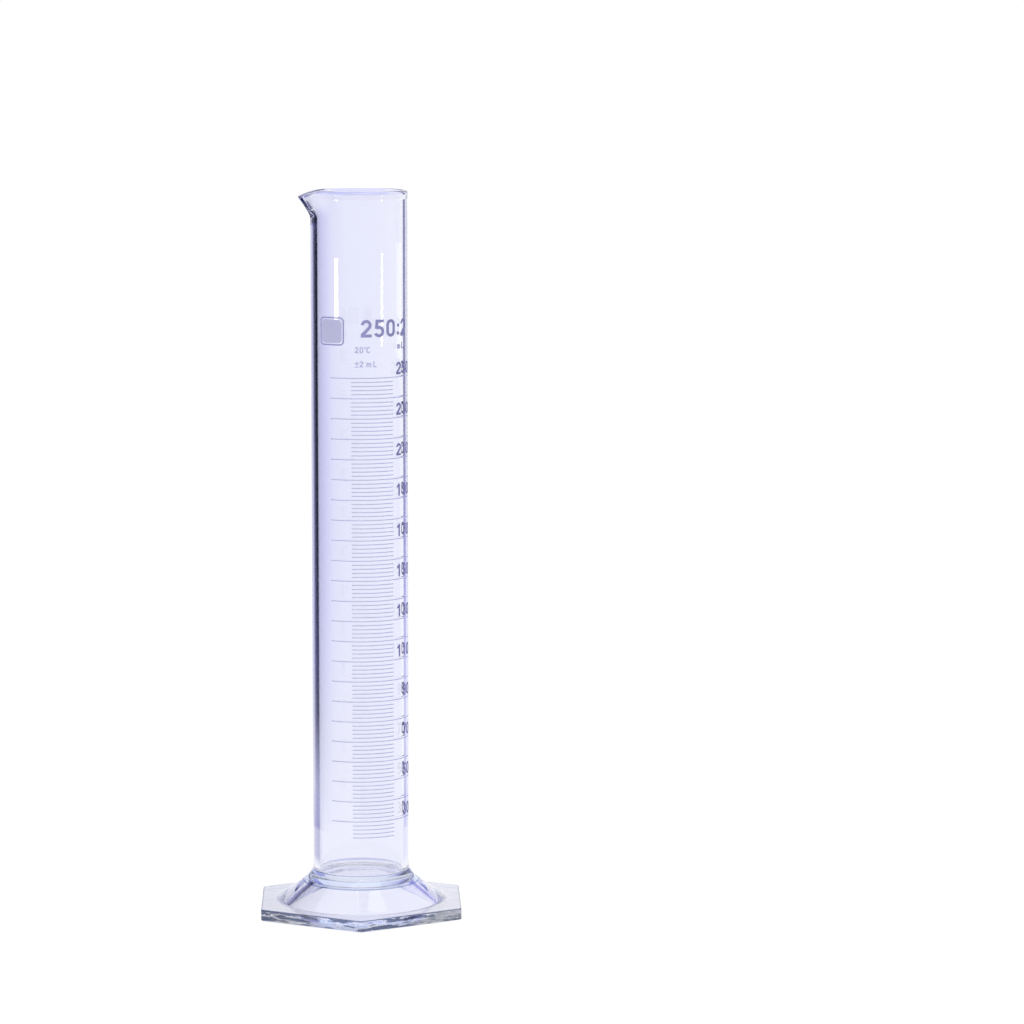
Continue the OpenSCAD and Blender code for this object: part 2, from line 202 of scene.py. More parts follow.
class FinishSettings(bpy.types.PropertyGroup):
    """Colours of the glass and of the enamel"""

    glass_tint: FloatVectorProperty(
        name="Glass tint", description="What the tube's wall lets through", subtype="COLOR", size=3,
        default=(0.898, 0.903, 0.968), min=0, max=1)
    foot_tint: FloatVectorProperty(
        name="Foot tint", description="What the pressed foot lets through", subtype="COLOR", size=3,
        default=(0.84, 0.85, 1.0), min=0, max=1)
    ground_tint: FloatVectorProperty(
        name="Ground tint", description="What the ground ring under the foot lets through",
        subtype="COLOR", size=3, default=(0.94, 0.945, 1.0), min=0, max=1)
    hollow_tint: FloatVectorProperty(
        name="Hollow tint", description="What the hollow under the foot lets through",
        subtype="COLOR", size=3, default=(0.86, 0.87, 0.98), min=0, max=1)
    punt_tint: FloatVectorProperty(
        name="Punt tint", description="What the floor of the bore lets through", subtype="COLOR",
        size=3, default=(1.0, 1.0, 1.0), min=0, max=1)
    seal_tint: FloatVectorProperty(
        name="Seal tint", description="What the melted ring lets through", subtype="COLOR", size=3,
        default=(0.72, 0.78, 0.97), min=0, max=1)
    # The blue of the painted reflection streaks along the flange's edge.
    edge_streak_tint: FloatVectorProperty(
        name="Edge tint", description="What the flange's edge lets through where it is blue",
        subtype="COLOR", size=3, default=(0.27, 0.43, 0.92), min=0, max=1)
    enamel: FloatVectorProperty(
        name="Figure enamel", description="Colour of the scale's figures", subtype="COLOR", size=3,
        default=(0.20, 0.20, 0.47), min=0, max=1)
    word_enamel: FloatVectorProperty(
        name="Word enamel", description="Colour of the capacity, the unit and the patch's border",
        subtype="COLOR", size=3, default=(0.27, 0.275, 0.54), min=0, max=1)
    line_enamel: FloatVectorProperty(
        name="Line enamel", description="Colour of the lines and the small notes",
        subtype="COLOR", size=3, default=(0.50, 0.51, 0.88), min=0, max=1)
    # Also the colour that painted light fades the figures and words to towards -X.
    thin_and_lit_enamel: FloatVectorProperty(
        name="Thin enamel", description="Colour of figures and words where the enamel is thin",
        subtype="COLOR", size=3, default=(0.38, 0.385, 0.70), min=0, max=1)
    pale_enamel: FloatVectorProperty(
        name="Pale enamel", description="Colour of the patch for a pencil mark", subtype="COLOR",
        size=3, default=(0.50, 0.50, 0.88), min=0, max=1)


class StageSettings(bpy.types.PropertyGroup):
    """Camera and light"""

    camera_distance: FloatProperty(
        name="Camera distance", description="Distance of the camera from the axis", default=1.8307,
        min=0.5, max=5, subtype="DISTANCE", unit="LENGTH")
    camera_height: FloatProperty(
        name="Camera height", description="Height of the camera above the table", default=0.3965,
        min=0, max=2, subtype="DISTANCE", unit="LENGTH")
    camera_pitch: FloatProperty(
        name="Camera pitch", description="How far the camera looks down",
        default=math.radians(6.80), subtype="ANGLE", unit="ROTATION")
    camera_yaw: FloatProperty(
        name="Camera yaw", description="How far the camera looks past the axis",
        default=math.radians(2.1026), subtype="ANGLE", unit="ROTATION")
    camera_roll: FloatProperty(
        name="Camera roll", description="How far the camera leans", default=math.radians(0.05),
        subtype="ANGLE", unit="ROTATION")
    lens: FloatProperty(
        name="Lens", description="Focal length on a 36 mm sensor, in millimetres", default=146.63,
        min=20, max=300)
    room_light: FloatProperty(
        name="Room light", description="Strength of the even light all round", default=1.25, min=0,
        max=2)


# ---- Making meshes ----


def deselect_all():
    """Leaves nothing selected, so that the next operator acts on its own piece alone."""
    bpy.ops.object.select_all(action="DESELECT")


def arc(centre, radius, start, end, steps):
    """Points of an arc in the profile's plane, from one angle to another in degrees."""
    points = []
    for i in range(steps + 1):
        turn = math.radians(start + (end - start) * i / steps)
        points.append((centre[0] + radius * math.cos(turn), centre[1] + radius * math.sin(turn)))
    return points


def straight(start, end, steps):
    """Points along a straight line, its ends left out."""
    return [
        (start[0] + (end[0] - start[0]) * i / steps, start[1] + (end[1] - start[1]) * i / steps)
        for i in range(1, steps)
    ]


def fillet(before, corner, after, radius, steps):
    """The arc that rounds a profile's corner."""
    a, c, b = Vector(before), Vector(corner), Vector(after)
    to_a, to_b = (a - c).normalized(), (b - c).normalized()
    half = to_a.angle(to_b) / 2
    centre = c + (to_a + to_b).normalized() * (radius / math.sin(half))
    first = c + to_a * (radius / math.tan(half)) - centre
    last = c + to_b * (radius / math.tan(half)) - centre
    start = math.degrees(math.atan2(first.y, first.x))
    sweep = math.degrees(math.atan2(first.x * last.y - first.y * last.x, first.dot(last)))
    return arc(centre, radius, start, start + sweep, steps)


def spin_profile(name, points, steps):
    """Draws a profile point by point from a plane merged to one vertex, and spins it round Z."""
    deselect_all()
    bpy.ops.mesh.primitive_plane_add(size=MM, location=(points[0][0], 0, points[0][1]))
    piece = bpy.context.active_object
    piece.name = piece.data.name = name
    bpy.ops.object.transform_apply(location=True, rotation=True, scale=True)
    bpy.ops.object.mode_set(mode="EDIT")
    bpy.ops.mesh.select_mode(type="VERT")
    bpy.ops.mesh.select_all(action="SELECT")
    bpy.ops.mesh.merge(type="CENTER")
    for (r0, z0), (r1, z1) in zip(points, points[1:]):
        bpy.ops.mesh.extrude_region_move(TRANSFORM_OT_translate={"value": (r1 - r0, 0, z1 - z0)})
    bpy.ops.mesh.select_all(action="SELECT")
    bpy.ops.mesh.spin(steps=steps, angle=2 * math.pi, center=(0, 0, 0), axis=(0, 0, 1))
    bpy.ops.mesh.select_all(action="SELECT")
    bpy.ops.mesh.remove_doubles(threshold=MERGE)
    bpy.ops.mesh.normals_make_consistent(inside=False)
    bpy.ops.object.mode_set(mode="OBJECT")
    return piece


# ---- The fused glass ----


def foot_rings(foot):
    """Radii of the cone's base, of the last ring of the land that stays round, and of the flats."""
    cone_r = SEAL_HIGH.x + foot.cone_run
    flat_r = FOOT_HIGH.x
    return cone_r, cone_r + (flat_r - cone_r) * ROUND_LAND, flat_r


def tube_radii(tube):
    """Radii of the tube's outside, under the rim, and of its bore."""
    tube_r = TUBE_HIGH.x - tube.rim_proud
    return tube_r, tube_r - tube.wall


def foot_profile(foot, tube_r):
    """Half the section of foot and seal, from the middle of the hollow's ceiling to the tube."""
    neck_r, seat_z = SEAL_HIGH.x, TUBE_LOW.z
    cone_r, land_r, flat_r = foot_rings(foot)
    ceiling = (neck_r - foot.cone_top_wall, seat_z - foot.ceiling)
    mouth = (cone_r - foot.cone_base_wall, 0.0)
    middle = (0.0, ceiling[1])
    edge, top = foot.flange_edge, foot.flange

    points = [middle] + straight(middle, ceiling, 6)
    points += fillet(middle, ceiling, mouth, foot.ceiling_round, 8)
    points += straight(points[-1], mouth, 8)
    points += fillet(ceiling, mouth, (flat_r, 0), foot.mouth_round, 5)
    points += [(land_r, 0.0)] + straight((land_r, 0.0), (flat_r - edge, 0.0), 4)
    points += arc((flat_r - edge, edge), edge, -90, 0, 5)
    points += straight((flat_r, edge), (flat_r, top - edge), 4)
    points += arc((flat_r - edge, top - edge), edge, 0, 90, 5)
    points += straight((flat_r - edge, top), (land_r, top), 4) + [(land_r, top)]
    base = (cone_r, top)
    toe = (neck_r, seat_z)
    points += fillet((land_r, top), base, toe, (flat_r - cone_r) / 3, 7)
    face = seal_face(foot, toe, tube_r)
    crease = fillet(base, toe, face[1], foot.toe_crease, 5)
    return points + straight(points[-1], crease[0], 8) + crease + face[2:]


def seal_face(foot, toe, tube_r):
    """The seal's hollow face, from its toe up to the tube."""
    low = Vector(toe)
    high = Vector((tube_r, SEAL_HIGH.z))
    half = (low - high) / 2
    side = Vector((-half.y, half.x)).normalized()
    centre = high + half + side * math.sqrt(foot.seal_face**2 - half.length_squared)
    start = math.degrees(math.atan2(low.y - centre.y, low.x - centre.x))
    end = math.degrees(math.atan2(high.y - centre.y, high.x - centre.x))
    return arc(centre, foot.seal_face, start, end, 16)


def tube_profile(tube):
    """Half the tube's section, from the seal over the rim and down to the middle of the floor."""
    tube_r, bore_r = tube_radii(tube)
    rim_r = (tube.wall + tube.rim_proud) / 2
    rim_centre = (bore_r + rim_r, TUBE_HIGH.z - rim_r)
    spout_root = TUBE_HIGH.z - tube.spout_height
    swell = rim_centre[1] - tube.rim_blend
    floor_z = TUBE_LOW.z + tube.floor_thickness
    corner = tube.floor_corner
    wall_low = (tube_r, SEAL_HIGH.z + CORNER_STRAIGHT)
    bore_low = (bore_r, floor_z + corner + CORNER_STRAIGHT)

    points = [wall_low] + straight(wall_low, (tube_r, spout_root), 8) + [(tube_r, spout_root)]
    points += straight((tube_r, spout_root), (tube_r, swell), 14)
    for i in range(5):
        part = i / 4
        ease = part * part * (3 - 2 * part)
        points.append((tube_r + tube.rim_proud * ease, swell + tube.rim_blend * part))
    points += arc(rim_centre, rim_r, 0, 180, 44)[1:]
    points += straight((bore_r, rim_centre[1]), (bore_r, spout_root), 18)
    points += [(bore_r, spout_root)] + straight((bore_r, spout_root), bore_low, 8) + [bore_low]
    points += arc((bore_r - corner, floor_z + corner), corner, 0, -90, 12)
    return points + straight((bore_r - corner, floor_z), (0.0, floor_z), 6) + [(0.0, floor_z)]


def press_flange(piece, foot):
    """Moves the rings outside the cone out to the hexagon, its corners on the Y axis."""
    land_r, flat_r = foot_rings(foot)[1:]
    rim_start = flat_r - foot.flange_edge
    sixth = math.pi / 3
    for vertex in piece.data.vertices:
        x, y, z = vertex.co
        radius = math.hypot(x, y)
        if radius < land_r + HAIR or z > foot.flange + HAIR:
            continue
        turn = math.atan2(y, x)
        corner_turn = math.pi / 2 + round((turn - math.pi / 2) / sixth) * sixth
        off = turn - corner_turn
        # The steps gather at the corners, where the outline bends
        share = abs(off) / (sixth / 2)
        gathered = math.copysign(share**1.5 * sixth / 2, off)
        part = min(1.0, (radius - land_r) / (rim_start - land_r))
        off += (gathered - off) * part
        inset = max(0.0, flat_r - max(radius, rim_start))
        bend = max(foot.flange_corner - inset, LEAST_BEND)
        out = (flat_r - foot.flange_corner) / math.cos(sixth / 2)
        limit = math.atan2(bend * math.sin(sixth / 2), out + bend * math.cos(sixth / 2))
        if abs(off) < limit:
            reach = out * math.cos(off) + math.sqrt(bend**2 - (out * math.sin(off)) ** 2)
        else:
            reach = (flat_r - inset) / math.cos(sixth / 2 - abs(off))
        reach = radius + (reach - radius) * part
        vertex.co.x = reach * math.cos(corner_turn + off)
        vertex.co.y = reach * math.sin(corner_turn + off)


def spout_plan(circle_r, tip_r, centre, share):
    """Point of the spout's outline from above, a share of the way from its tip to the round."""
    turn = math.acos((circle_r - tip_r) / centre)
    tip = tip_r * turn
    side = math.sqrt(centre**2 - (circle_r - tip_r) ** 2)
    back = circle_r * (SPOUT_SPREAD - turn)
    along = share * (tip + side + back)
    if along <= tip:
        angle = along / tip_r
        return centre + tip_r * math.cos(angle), tip_r * math.sin(angle)
    if along <= tip + side:
        part = (along - tip) / side
        x0, y0 = centre + tip_r * math.cos(turn), tip_r * math.sin(turn)
        x1, y1 = circle_r * math.cos(turn), circle_r * math.sin(turn)
        return x0 + (x1 - x0) * part, y0 + (y1 - y0) * part
    angle = turn + (along - tip - side) / circle_r
    return circle_r * math.cos(angle), circle_r * math.sin(angle)


def spout_growth(up):
    """How far the spout has grown out of the wall at a share of its height."""
    soft = SPOUT_SOFT_ROOT
    return (math.hypot(up, soft) - soft) / (math.hypot(1, soft) - soft)


def draw_spout(piece, tube):
    """Pulls the wall out to the spout, further the higher it is, and lets its tip droop."""
    tube_r, bore_r = tube_radii(tube)
    root = TUBE_HIGH.z - tube.spout_height
    groove = tube.spout_groove
    lip = groove + tube.spout_wall
    reach = tube.spout_centre + lip - tube_r
    for vertex in piece.data.vertices:
        x, y, z = vertex.co
        share = abs(math.atan2(y, -x)) / SPOUT_SPREAD
        if z <= root or share >= 1:
            continue
        across = (math.hypot(x, y) - bore_r) / tube.wall
        inner = spout_plan(bore_r, groove, tube.spout_centre, share)
        outer = spout_plan(tube_r, lip, tube.spout_centre, share)
        out_x = inner[0] + (outer[0] - inner[0]) * across
        out_y = inner[1] + (outer[1] - inner[1]) * across
        grown = spout_growth((z - root) / tube.spout_height)
        drawn = max(0.0, math.hypot(*outer) - tube_r) / reach
        vertex.co.x = x + (-out_x - x) * grown
        vertex.co.y = y + (math.copysign(out_y, y) - y) * grown
        vertex.co.z = z - tube.spout_droop * grown * drawn


def glass_kind(centre, normal):
    """Which of the vessel's glasses a face is made of, from its place and its direction."""
    out = math.hypot(centre.x, centre.y)
    seat_z = TUBE_LOW.z
    rim_depth = 2 * RIM_DEPTH if centre.x < -TUBE_HIGH.x else RIM_DEPTH
    if centre.z > TUBE_HIGH.z - rim_depth:
        return "rim"
    if seat_z - SEAL_LAP < centre.z < SEAL_HIGH.z and out > TUBE_HIGH.x - SEAL_BITE:
        return "seal"
    if out < PUNT_RADIUS and centre.z < seat_z + PUNT_RISE:
        return "punt"
    if centre.z > seat_z + HAIR and out < SEAL_HIGH.x:
        return "drawn"
    if centre.z < GROUND_RISE and out > GROUND_RADIUS:
        return "ground"
    if abs(normal.z) < UPRIGHT and out > EDGE_RADIUS:
        return "edge"
    return "hollow" if normal.z < 0 else "pressed"


class GLASSWARE_OT_fuse_vessel(bpy.types.Operator):
    """Spin the tube, seal and foot as one fused glass, press the flange and draw the spout"""

    bl_idname = "glassware.fuse_vessel"
    bl_label = "Fuse Glass Vessel"

    def execute(self, context):
        tube, foot = context.scene.glassware_tube, context.scene.glassware_foot
        finish = context.scene.glassware_finish
        profile = foot_profile(foot, tube_radii(tube)[0]) + tube_profile(tube)
        piece = spin_profile("glass_vessel", profile, tube.steps)
        press_flange(piece, foot)
        draw_spout(piece, tube)
        glasses = {
            "drawn": drawn_glass(finish.glass_tint),
            "rim": rim_glass(finish.glass_tint),
            "pressed": pressed_glass(finish.foot_tint),
            "edge": flange_edge_glass(finish.edge_streak_tint),
            "ground": ground_glass(finish.ground_tint),
            "seal": seal_glass(finish.seal_tint),
            "hollow": hollow_glass(finish.hollow_tint),
            "punt": punt_glass(finish.punt_tint),
        }
        for glass in glasses.values():
            piece.data.materials.append(glass)
        kinds = list(glasses)
        for face in piece.data.polygons:
            face.material_index = kinds.index(glass_kind(face.center, face.normal))
        bpy.ops.object.shade_smooth_by_angle(angle=SMOOTH_ANGLE)
        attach(piece, "root")
        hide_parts("measuring_tube", "seal_ring", "hexagonal_foot")
        deselect_all()
        return {"FINISHED"}


# ---- Materials ----


def feed(tree, socket, value):
    """Links another node's output to a socket, or sets the socket to a number or a colour."""
    if isinstance(value, bpy.types.NodeSocket):
        tree.links.new(value, socket)
    else:
        socket.default_value = value


def add_node(tree, kind, **values):
    """Adds a node; a value goes to its property or to its input of that name."""
    node = tree.nodes.new(kind)
    for key, value in values.items():
        if hasattr(node, key):
            setattr(node, key, value)
        else:
            feed(tree, node.inputs[key.replace("_", " ")], value)
    return node


def calculate(tree, operation, *values, clamp=False):
    """Adds a Math node for numbers or other nodes' outputs and gives its result."""
    node = add_node(tree, "ShaderNodeMath", operation=operation, use_clamp=clamp)
    for socket, value in zip(node.inputs, values):
        feed(tree, socket, value)
    return node.outputs[0]


def rise(tree, value, low, high, kind="LINEAR"):
    """Goes from 0 to 1 while a value goes from low to high."""
    node = add_node(
        tree, "ShaderNodeMapRange", interpolation_type=kind, Value=value, From_Min=low,
        From_Max=high)
    return node.outputs[0]


def mix_colours(tree, factor, first, second):
    """Mixes two colours, each of them a tuple of four or another node's output."""
    node = add_node(
        tree, "ShaderNodeMix", data_type="RGBA", Factor=factor, A=first, B=second)
    return node.outputs["Result"]


def object_axes(tree):
    """The place on the object, as X, Y and Z."""
    place = tree.nodes.new("ShaderNodeTexCoord")
    return add_node(tree, "ShaderNodeSeparateXYZ", Vector=place.outputs["Object"]).outputs


def empty_material(name):
    """A material with nothing in its tree but the output."""
    material = bpy.data.materials.new(name)
    material.use_nodes = True
    tree = material.node_tree
    tree.nodes.clear()
    return material, tree, tree.nodes.new("ShaderNodeOutputMaterial")


def principled_material(name, **values):
    """A material with a Principled shader set to the values."""
    material, tree, output = empty_material(name)
    shader = add_node(tree, "ShaderNodeBsdfPrincipled", **values)
    tree.links.new(shader.outputs["BSDF"], output.inputs["Surface"])
    return material, tree, shader


def roughen(tree, shader, height, strength, distance):
    """Bumps a shader's surface by a height."""
    bump = add_node(
        tree, "ShaderNodeBump", Strength=strength, Distance=distance, Height=height)
    tree.links.new(bump.outputs["Normal"], shader.inputs["Normal"])


def new_group(name, inputs, outputs):
    """An empty node group; inputs map a name to its default, outputs map a name to its kind."""
    group = bpy.data.node_groups.new(name, "ShaderNodeTree")
    for socket_name, default in inputs.items():
        kind = "NodeSocketFloat" if isinstance(default, float) else "NodeSocketColor"
        socket = group.interface.new_socket(name=socket_name, in_out="INPUT", socket_type=kind)
        socket.default_value = default
    for socket_name, kind in outputs.items():
        group.interface.new_socket(name=socket_name, in_out="OUTPUT", socket_type=kind)
    given = group.nodes.new("NodeGroupInput").outputs
    result = group.nodes.new("NodeGroupOutput").inputs
    return group, given, result


def ripple_group():
    """Height of ripples in glass: slow waves and fine ones, both stretched alike along Z."""
    if "glass_ripple" in bpy.data.node_groups:
        return bpy.data.node_groups["glass_ripple"]
    group, given, result = new_group(
        "glass_ripple",
        {"Wave Scale": 40.0, "Fine Scale": 200.0, "Stretch": 0.1, "Fine Share": 0.2},
        {"Height": "NodeSocketFloat", "Patch": "NodeSocketFloat"})
    place = group.nodes.new("ShaderNodeTexCoord")
    stretch = add_node(group, "ShaderNodeCombineXYZ", X=1, Y=1, Z=given["Stretch"])
    squeezed = add_node(group, "ShaderNodeVectorMath", operation="MULTIPLY")
    group.links.new(place.outputs["Object"], squeezed.inputs[0])
    group.links.new(stretch.outputs[0], squeezed.inputs[1])
    slow = add_node(
        group, "ShaderNodeTexNoise", Vector=squeezed.outputs[0], Scale=given["Wave Scale"],
        Detail=1.0, Roughness=0.4)
    fine = add_node(
        group, "ShaderNodeTexNoise", Vector=squeezed.outputs[0], Scale=given["Fine Scale"],
        Detail=2.0, Roughness=0.5)
    waves = calculate(
        group, "MULTIPLY_ADD", fine.outputs["Fac"], given["Fine Share"], slow.outputs["Fac"])
    group.links.new(waves, result["Height"])
    group.links.new(slow.outputs["Fac"], result["Patch"])
    return group


def painted_shade_bands(tree, colour, bands):
    """Paints shade into a colour near some heights: dark bands where a melted edge or crease runs
    round the glass and bends the light.
    """
    axes = object_axes(tree)
    for height, reach, deep in bands:
        away = calculate(tree, "SUBTRACT", axes["Z"], height)
        distance = calculate(tree, "ABSOLUTE", away)
        near = rise(tree, distance, reach, reach * 0.3, "SMOOTHSTEP")
        colour = mix_colours(tree, near, colour, (*deep, 1))
    return colour


def times(tint, red, green, blue):
    """A tint made deeper or paler, each channel by its own factor."""
    return tint[0] * red, tint[1] * green, tint[2] * blue


def rippled_glass(name, ripple, depth, roughness):
    """Clear glass with ripples, still without its tint, and the ripples for a tint to follow."""
    material, tree, shader = principled_material(
        name, Transmission_Weight=1, IOR=GLASS_IOR, Roughness=roughness)
    waves = add_node(tree, "ShaderNodeGroup", node_tree=ripple_group())
    for key, value in ripple.items():
        waves.inputs[key].default_value = value
    roughen(tree, shader, waves.outputs["Height"], 1.0, depth)
    return material, tree, shader, waves.outputs


def drifting_glass(name, tint, other, ripple, depth, roughness=0, spread=0.2, bands=()):
    """Clear glass with a tint that drifts to another over the ripples' patches."""
    material, tree, shader, waves = rippled_glass(name, ripple, depth, roughness)
    patches = rise(tree, waves["Patch"], 0.5 - spread, 0.5 + spread)
    colour = mix_colours(tree, patches, (*tint, 1), (*other, 1))
    if bands:
        colour = painted_shade_bands(tree, colour, bands)
    tree.links.new(colour, shader.inputs["Base Color"])
    return material


def even_glass(name, tint, ripple, depth, roughness=0):
    """Clear glass with one tint all over."""
    material, _, shader, _ = rippled_glass(name, ripple, depth, roughness)
    shader.inputs["Base Color"].default_value = (*tint, 1)
    return material


def drawn_glass(tint):
    """The tube: faint lines run along it, from the drawing."""
    ripple = {"Wave Scale": 60.0, "Fine Scale": 260.0, "Stretch": 0.05, "Fine Share": 0.1}
    other = times(tint, 0.985, 0.985, 1)
    return drifting_glass("drawn_glass", tint, other, ripple, 0.002 * MM, spread=0.25)


def rim_glass(tint):
    """The fire-polished rim, where the glass has drawn together and looks deeper."""
    ripple = {"Wave Scale": 120.0, "Fine Scale": 400.0, "Stretch": 1.0, "Fine Share": 0.1}
    deep, other = times(tint, 0.72, 0.73, 0.95), times(tint, 0.8, 0.8, 1)
    return drifting_glass("rim_glass", deep, other, ripple, 0.004 * MM, roughness=0.06)


def pressed_glass(tint):
    """The foot: its faces keep the soft unevenness of the mould."""
    ripple = {"Wave Scale": 70.0, "Fine Scale": 240.0, "Stretch": 1.0, "Fine Share": 0.3}
    other = times(tint, 0.965, 0.965, 1)
    return drifting_glass("pressed_glass", tint, other, ripple, 0.08 * MM)


def hollow_glass(tint):
    """The hollow under the foot, fire-polished by the plunger and the clearest face of all."""
    ripple = {"Wave Scale": 50.0, "Fine Scale": 200.0, "Stretch": 1.0, "Fine Share": 0.2}
    other = times(tint, 0.98, 0.98, 1)
    return drifting_glass("hollow_glass", tint, other, ripple, 0.02 * MM)


def punt_glass(tint):
    """The floor of the bore and the roof under it, both fire-polished and thin."""
    ripple = {"Wave Scale": 50.0, "Fine Scale": 200.0, "Stretch": 1.0, "Fine Share": 0.2}
    return even_glass("punt_glass", tint, ripple, 0.01 * MM)


def ground_glass(tint):
    """The underside that stands on the table: ground flat and fine, so it scatters."""
    ripple = {"Wave Scale": 300.0, "Fine Scale": 1500.0, "Stretch": 1.0, "Fine Share": 0.5}
    return even_glass("ground_glass", tint, ripple, 0.03 * MM, roughness=0.28)


def seal_glass(tint):
    """The melted ring between tube and foot, where the glass is thickest."""
    ripple = {"Wave Scale": 60.0, "Fine Scale": 240.0, "Stretch": 3.0, "Fine Share": 0.3}
    deep, other = times(tint, 0.25, 0.3, 0.5), times(tint, 0.92, 0.95, 1)
    # Painted shade: the deep bands are dark lines at the seal's toe and at its top, where the
    # crease bends the light.
    bands = ((TUBE_LOW.z + 0.1 * MM, 0.45 * MM, deep), (SEAL_HIGH.z, 0.5 * MM, deep))
    return drifting_glass("seal_glass", tint, other, ripple, 0.05 * MM, bands=bands)


def flange_edge_glass(tint):
    """The flange's upright faces: flow lines ripple along them, and painted reflection streaks,
    clear, blue, dark and warm, follow the ripples.
    """
    ripple = {"Wave Scale": 60.0, "Fine Scale": 330.0, "Stretch": 9.0, "Fine Share": 0.35}
    material, tree, shader, waves = rippled_glass(
        "flange_edge_glass", ripple, depth=0.35 * MM, roughness=0.02)
    # Painted reflection: pale, grey, warm, dark and blue are the colours of the streaks laid along
    # the ripples.
    pale, grey, warm = (1.0, 1.0, 1.0), (0.55, 0.54, 0.52), times(tint, 1.6, 1.1, 0.5)
    # melted is painted shade, the colour of the dark lines along the flange's melted edges.
    dark, melted = times(tint, 0.08, 0.08, 0.1), times(tint, 0.16, 0.16, 0.2)
    warm_painted_streaks = ((0.55, dark), (0.60, grey), (0.66, pale), (0.72, warm), (0.78, dark))
    blue_painted_streaks = (
        (0.54, dark), (0.58, tint), (0.62, pale), (0.68, tint), (0.74, pale), (0.79, dark))
    painted_streaks = []
    for stops in (warm_painted_streaks, blue_painted_streaks):
        ramp = tree.nodes.new("ShaderNodeValToRGB")
        while len(ramp.color_ramp.elements) < len(stops):
            ramp.color_ramp.elements.new(0.5)
        for element, (at, colour) in zip(ramp.color_ramp.elements, stops):
            element.position = at
            element.color = (*colour, 1)
        tree.links.new(waves["Height"], ramp.inputs[0])
        painted_streaks.append(ramp.outputs["Color"])
    # Painted reflection: one corner's streaks are grey and warm, the next one's clear and blue, by
    # turns
    axes = object_axes(tree)
    turn = calculate(tree, "ARCTAN2", axes["Y"], axes["X"])
    swing = calculate(tree, "SINE", calculate(tree, "MULTIPLY", turn, 3))
    blue = rise(tree, swing, -0.7, 0.5, "SMOOTHSTEP")
    colour = mix_colours(tree, blue, *painted_streaks)
    # Painted shade: dark bands along the flange's melted top and bottom edges.
    inset = 0.1 * MM
    bands = [(height, 0.35 * MM, melted) for height in (inset, FLANGE_TOP - inset)]
    tree.links.new(painted_shade_bands(tree, colour, bands), shader.inputs["Base Color"])
    return material


def mottle_group():
    """Fired enamel seen close up: fine grains in slow patches, thin where it burnt off, with
    painted light and shade across it, paler towards -X and darker towards +X.
    """
    if "enamel_mottle" in bpy.data.node_groups:
        return bpy.data.node_groups["enamel_mottle"]
    group, given, result = new_group(
        "enamel_mottle", {"Color": (0.3, 0.3, 0.4, 1), "Thin Color": (0.5, 0.5, 0.6, 1)},
        {"Color": "NodeSocketColor", "Height": "NodeSocketFloat"})
    place = group.nodes.new("ShaderNodeTexCoord").outputs["Object"]
    patches = add_node(
        group, "ShaderNodeTexNoise", Vector=place, Scale=700.0, Detail=3.0, Roughness=0.6)
    grains = add_node(group, "ShaderNodeTexNoise", Vector=place, Scale=5200.0, Detail=1.0)
    both = calculate(group, "ADD", patches.outputs["Fac"], grains.outputs["Fac"])
    worn = rise(group, both, 0.85, 1.35)
    # Painted light and shade: the enamel is drawn paler towards -X and darker towards +X
    painted_side_light = rise(group, object_axes(group)["X"], PAINTED_SHADE_X, 0)
    wear_and_painted_light = calculate(group, "MULTIPLY_ADD", worn, WORN_SHARE, painted_side_light, clamp=True)
    mixed = mix_colours(group, wear_and_painted_light, given["Color"], given["Thin Color"])
    group.links.new(mixed, result["Color"])
    group.links.new(grains.outputs["Fac"], result["Height"])
    return group


def enamel_material(name, colour, thin_colour):
    """Matt fired enamel, its pigment thinner in worn places so that the pale light comes through,
    and drawn paler towards -X as painted light.
    """
    material, tree, shader = principled_material(
        name, Roughness=0.62, Specular_IOR_Level=0.1)
    mottle = add_node(tree, "ShaderNodeGroup", node_tree=mottle_group())
    mottle.inputs["Color"].default_value = (*colour, 1)
    mottle.inputs["Thin Color"].default_value = (*thin_colour, 1)
    tree.links.new(mottle.outputs["Color"], shader.inputs["Base Color"])
    roughen(tree, shader, mottle.outputs["Height"], 0.5, 0.01 * MM)
    return material


def paler(colour, share):
    """A colour taken a share of the way to white."""
    return [value + (1 - value) * share for value in colour]


def fire_enamel(names, material):
    """Gives CAD nodes their enamel."""
    for name in names:
        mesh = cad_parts[name].data
        mesh.materials.clear()
        mesh.materials.append(material)


class GLASSWARE_OT_fire_scale(bpy.types.Operator):
    """Fire the lines, the notes, the words and the figures in blue-grey enamel"""

    bl_idname = "glassware.fire_scale"
    bl_label = "Fire Scale"

    def execute(self, context):
        finish = context.scene.glassware_finish
        # Each enamel fades to its second colour where worn and, as painted light, towards -X.
        for name, nodes, colour, thin in (
            ("line_enamel", LINE_NODES, finish.line_enamel, paler(finish.line_enamel, 0.15)),
            ("word_enamel", WORD_NODES, finish.word_enamel, finish.thin_and_lit_enamel),
            ("figure_enamel", FIGURE_NODES, finish.enamel, finish.thin_and_lit_enamel),
        ):
            fire_enamel(nodes, enamel_material(name, colour, thin))
        return {"FINISHED"}


class GLASSWARE_OT_fire_patch(bpy.types.Operator):
    """Fire the plain patch for a pencil mark in pale enamel"""

    bl_idname = "glassware.fire_patch"
    bl_label = "Fire Marking Patch"

    def execute(self, context):
        pale = context.scene.glassware_finish.pale_enamel
        fire_enamel(("marking_patch",), enamel_material("patch_enamel", pale, paler(pale, 0.25)))
        return {"FINISHED"}


# ---- Stage ----


def seen_rays(tree):
    """1 for rays from the camera and those that glass and gloss send on, 0 for the light's own."""
    path = tree.nodes.new("ShaderNodeLightPath").outputs
    seen = calculate(tree, "MAXIMUM", path["Is Camera Ray"], path["Is Glossy Ray"])
    return calculate(tree, "MAXIMUM", seen, path["Is Transmission Ray"])


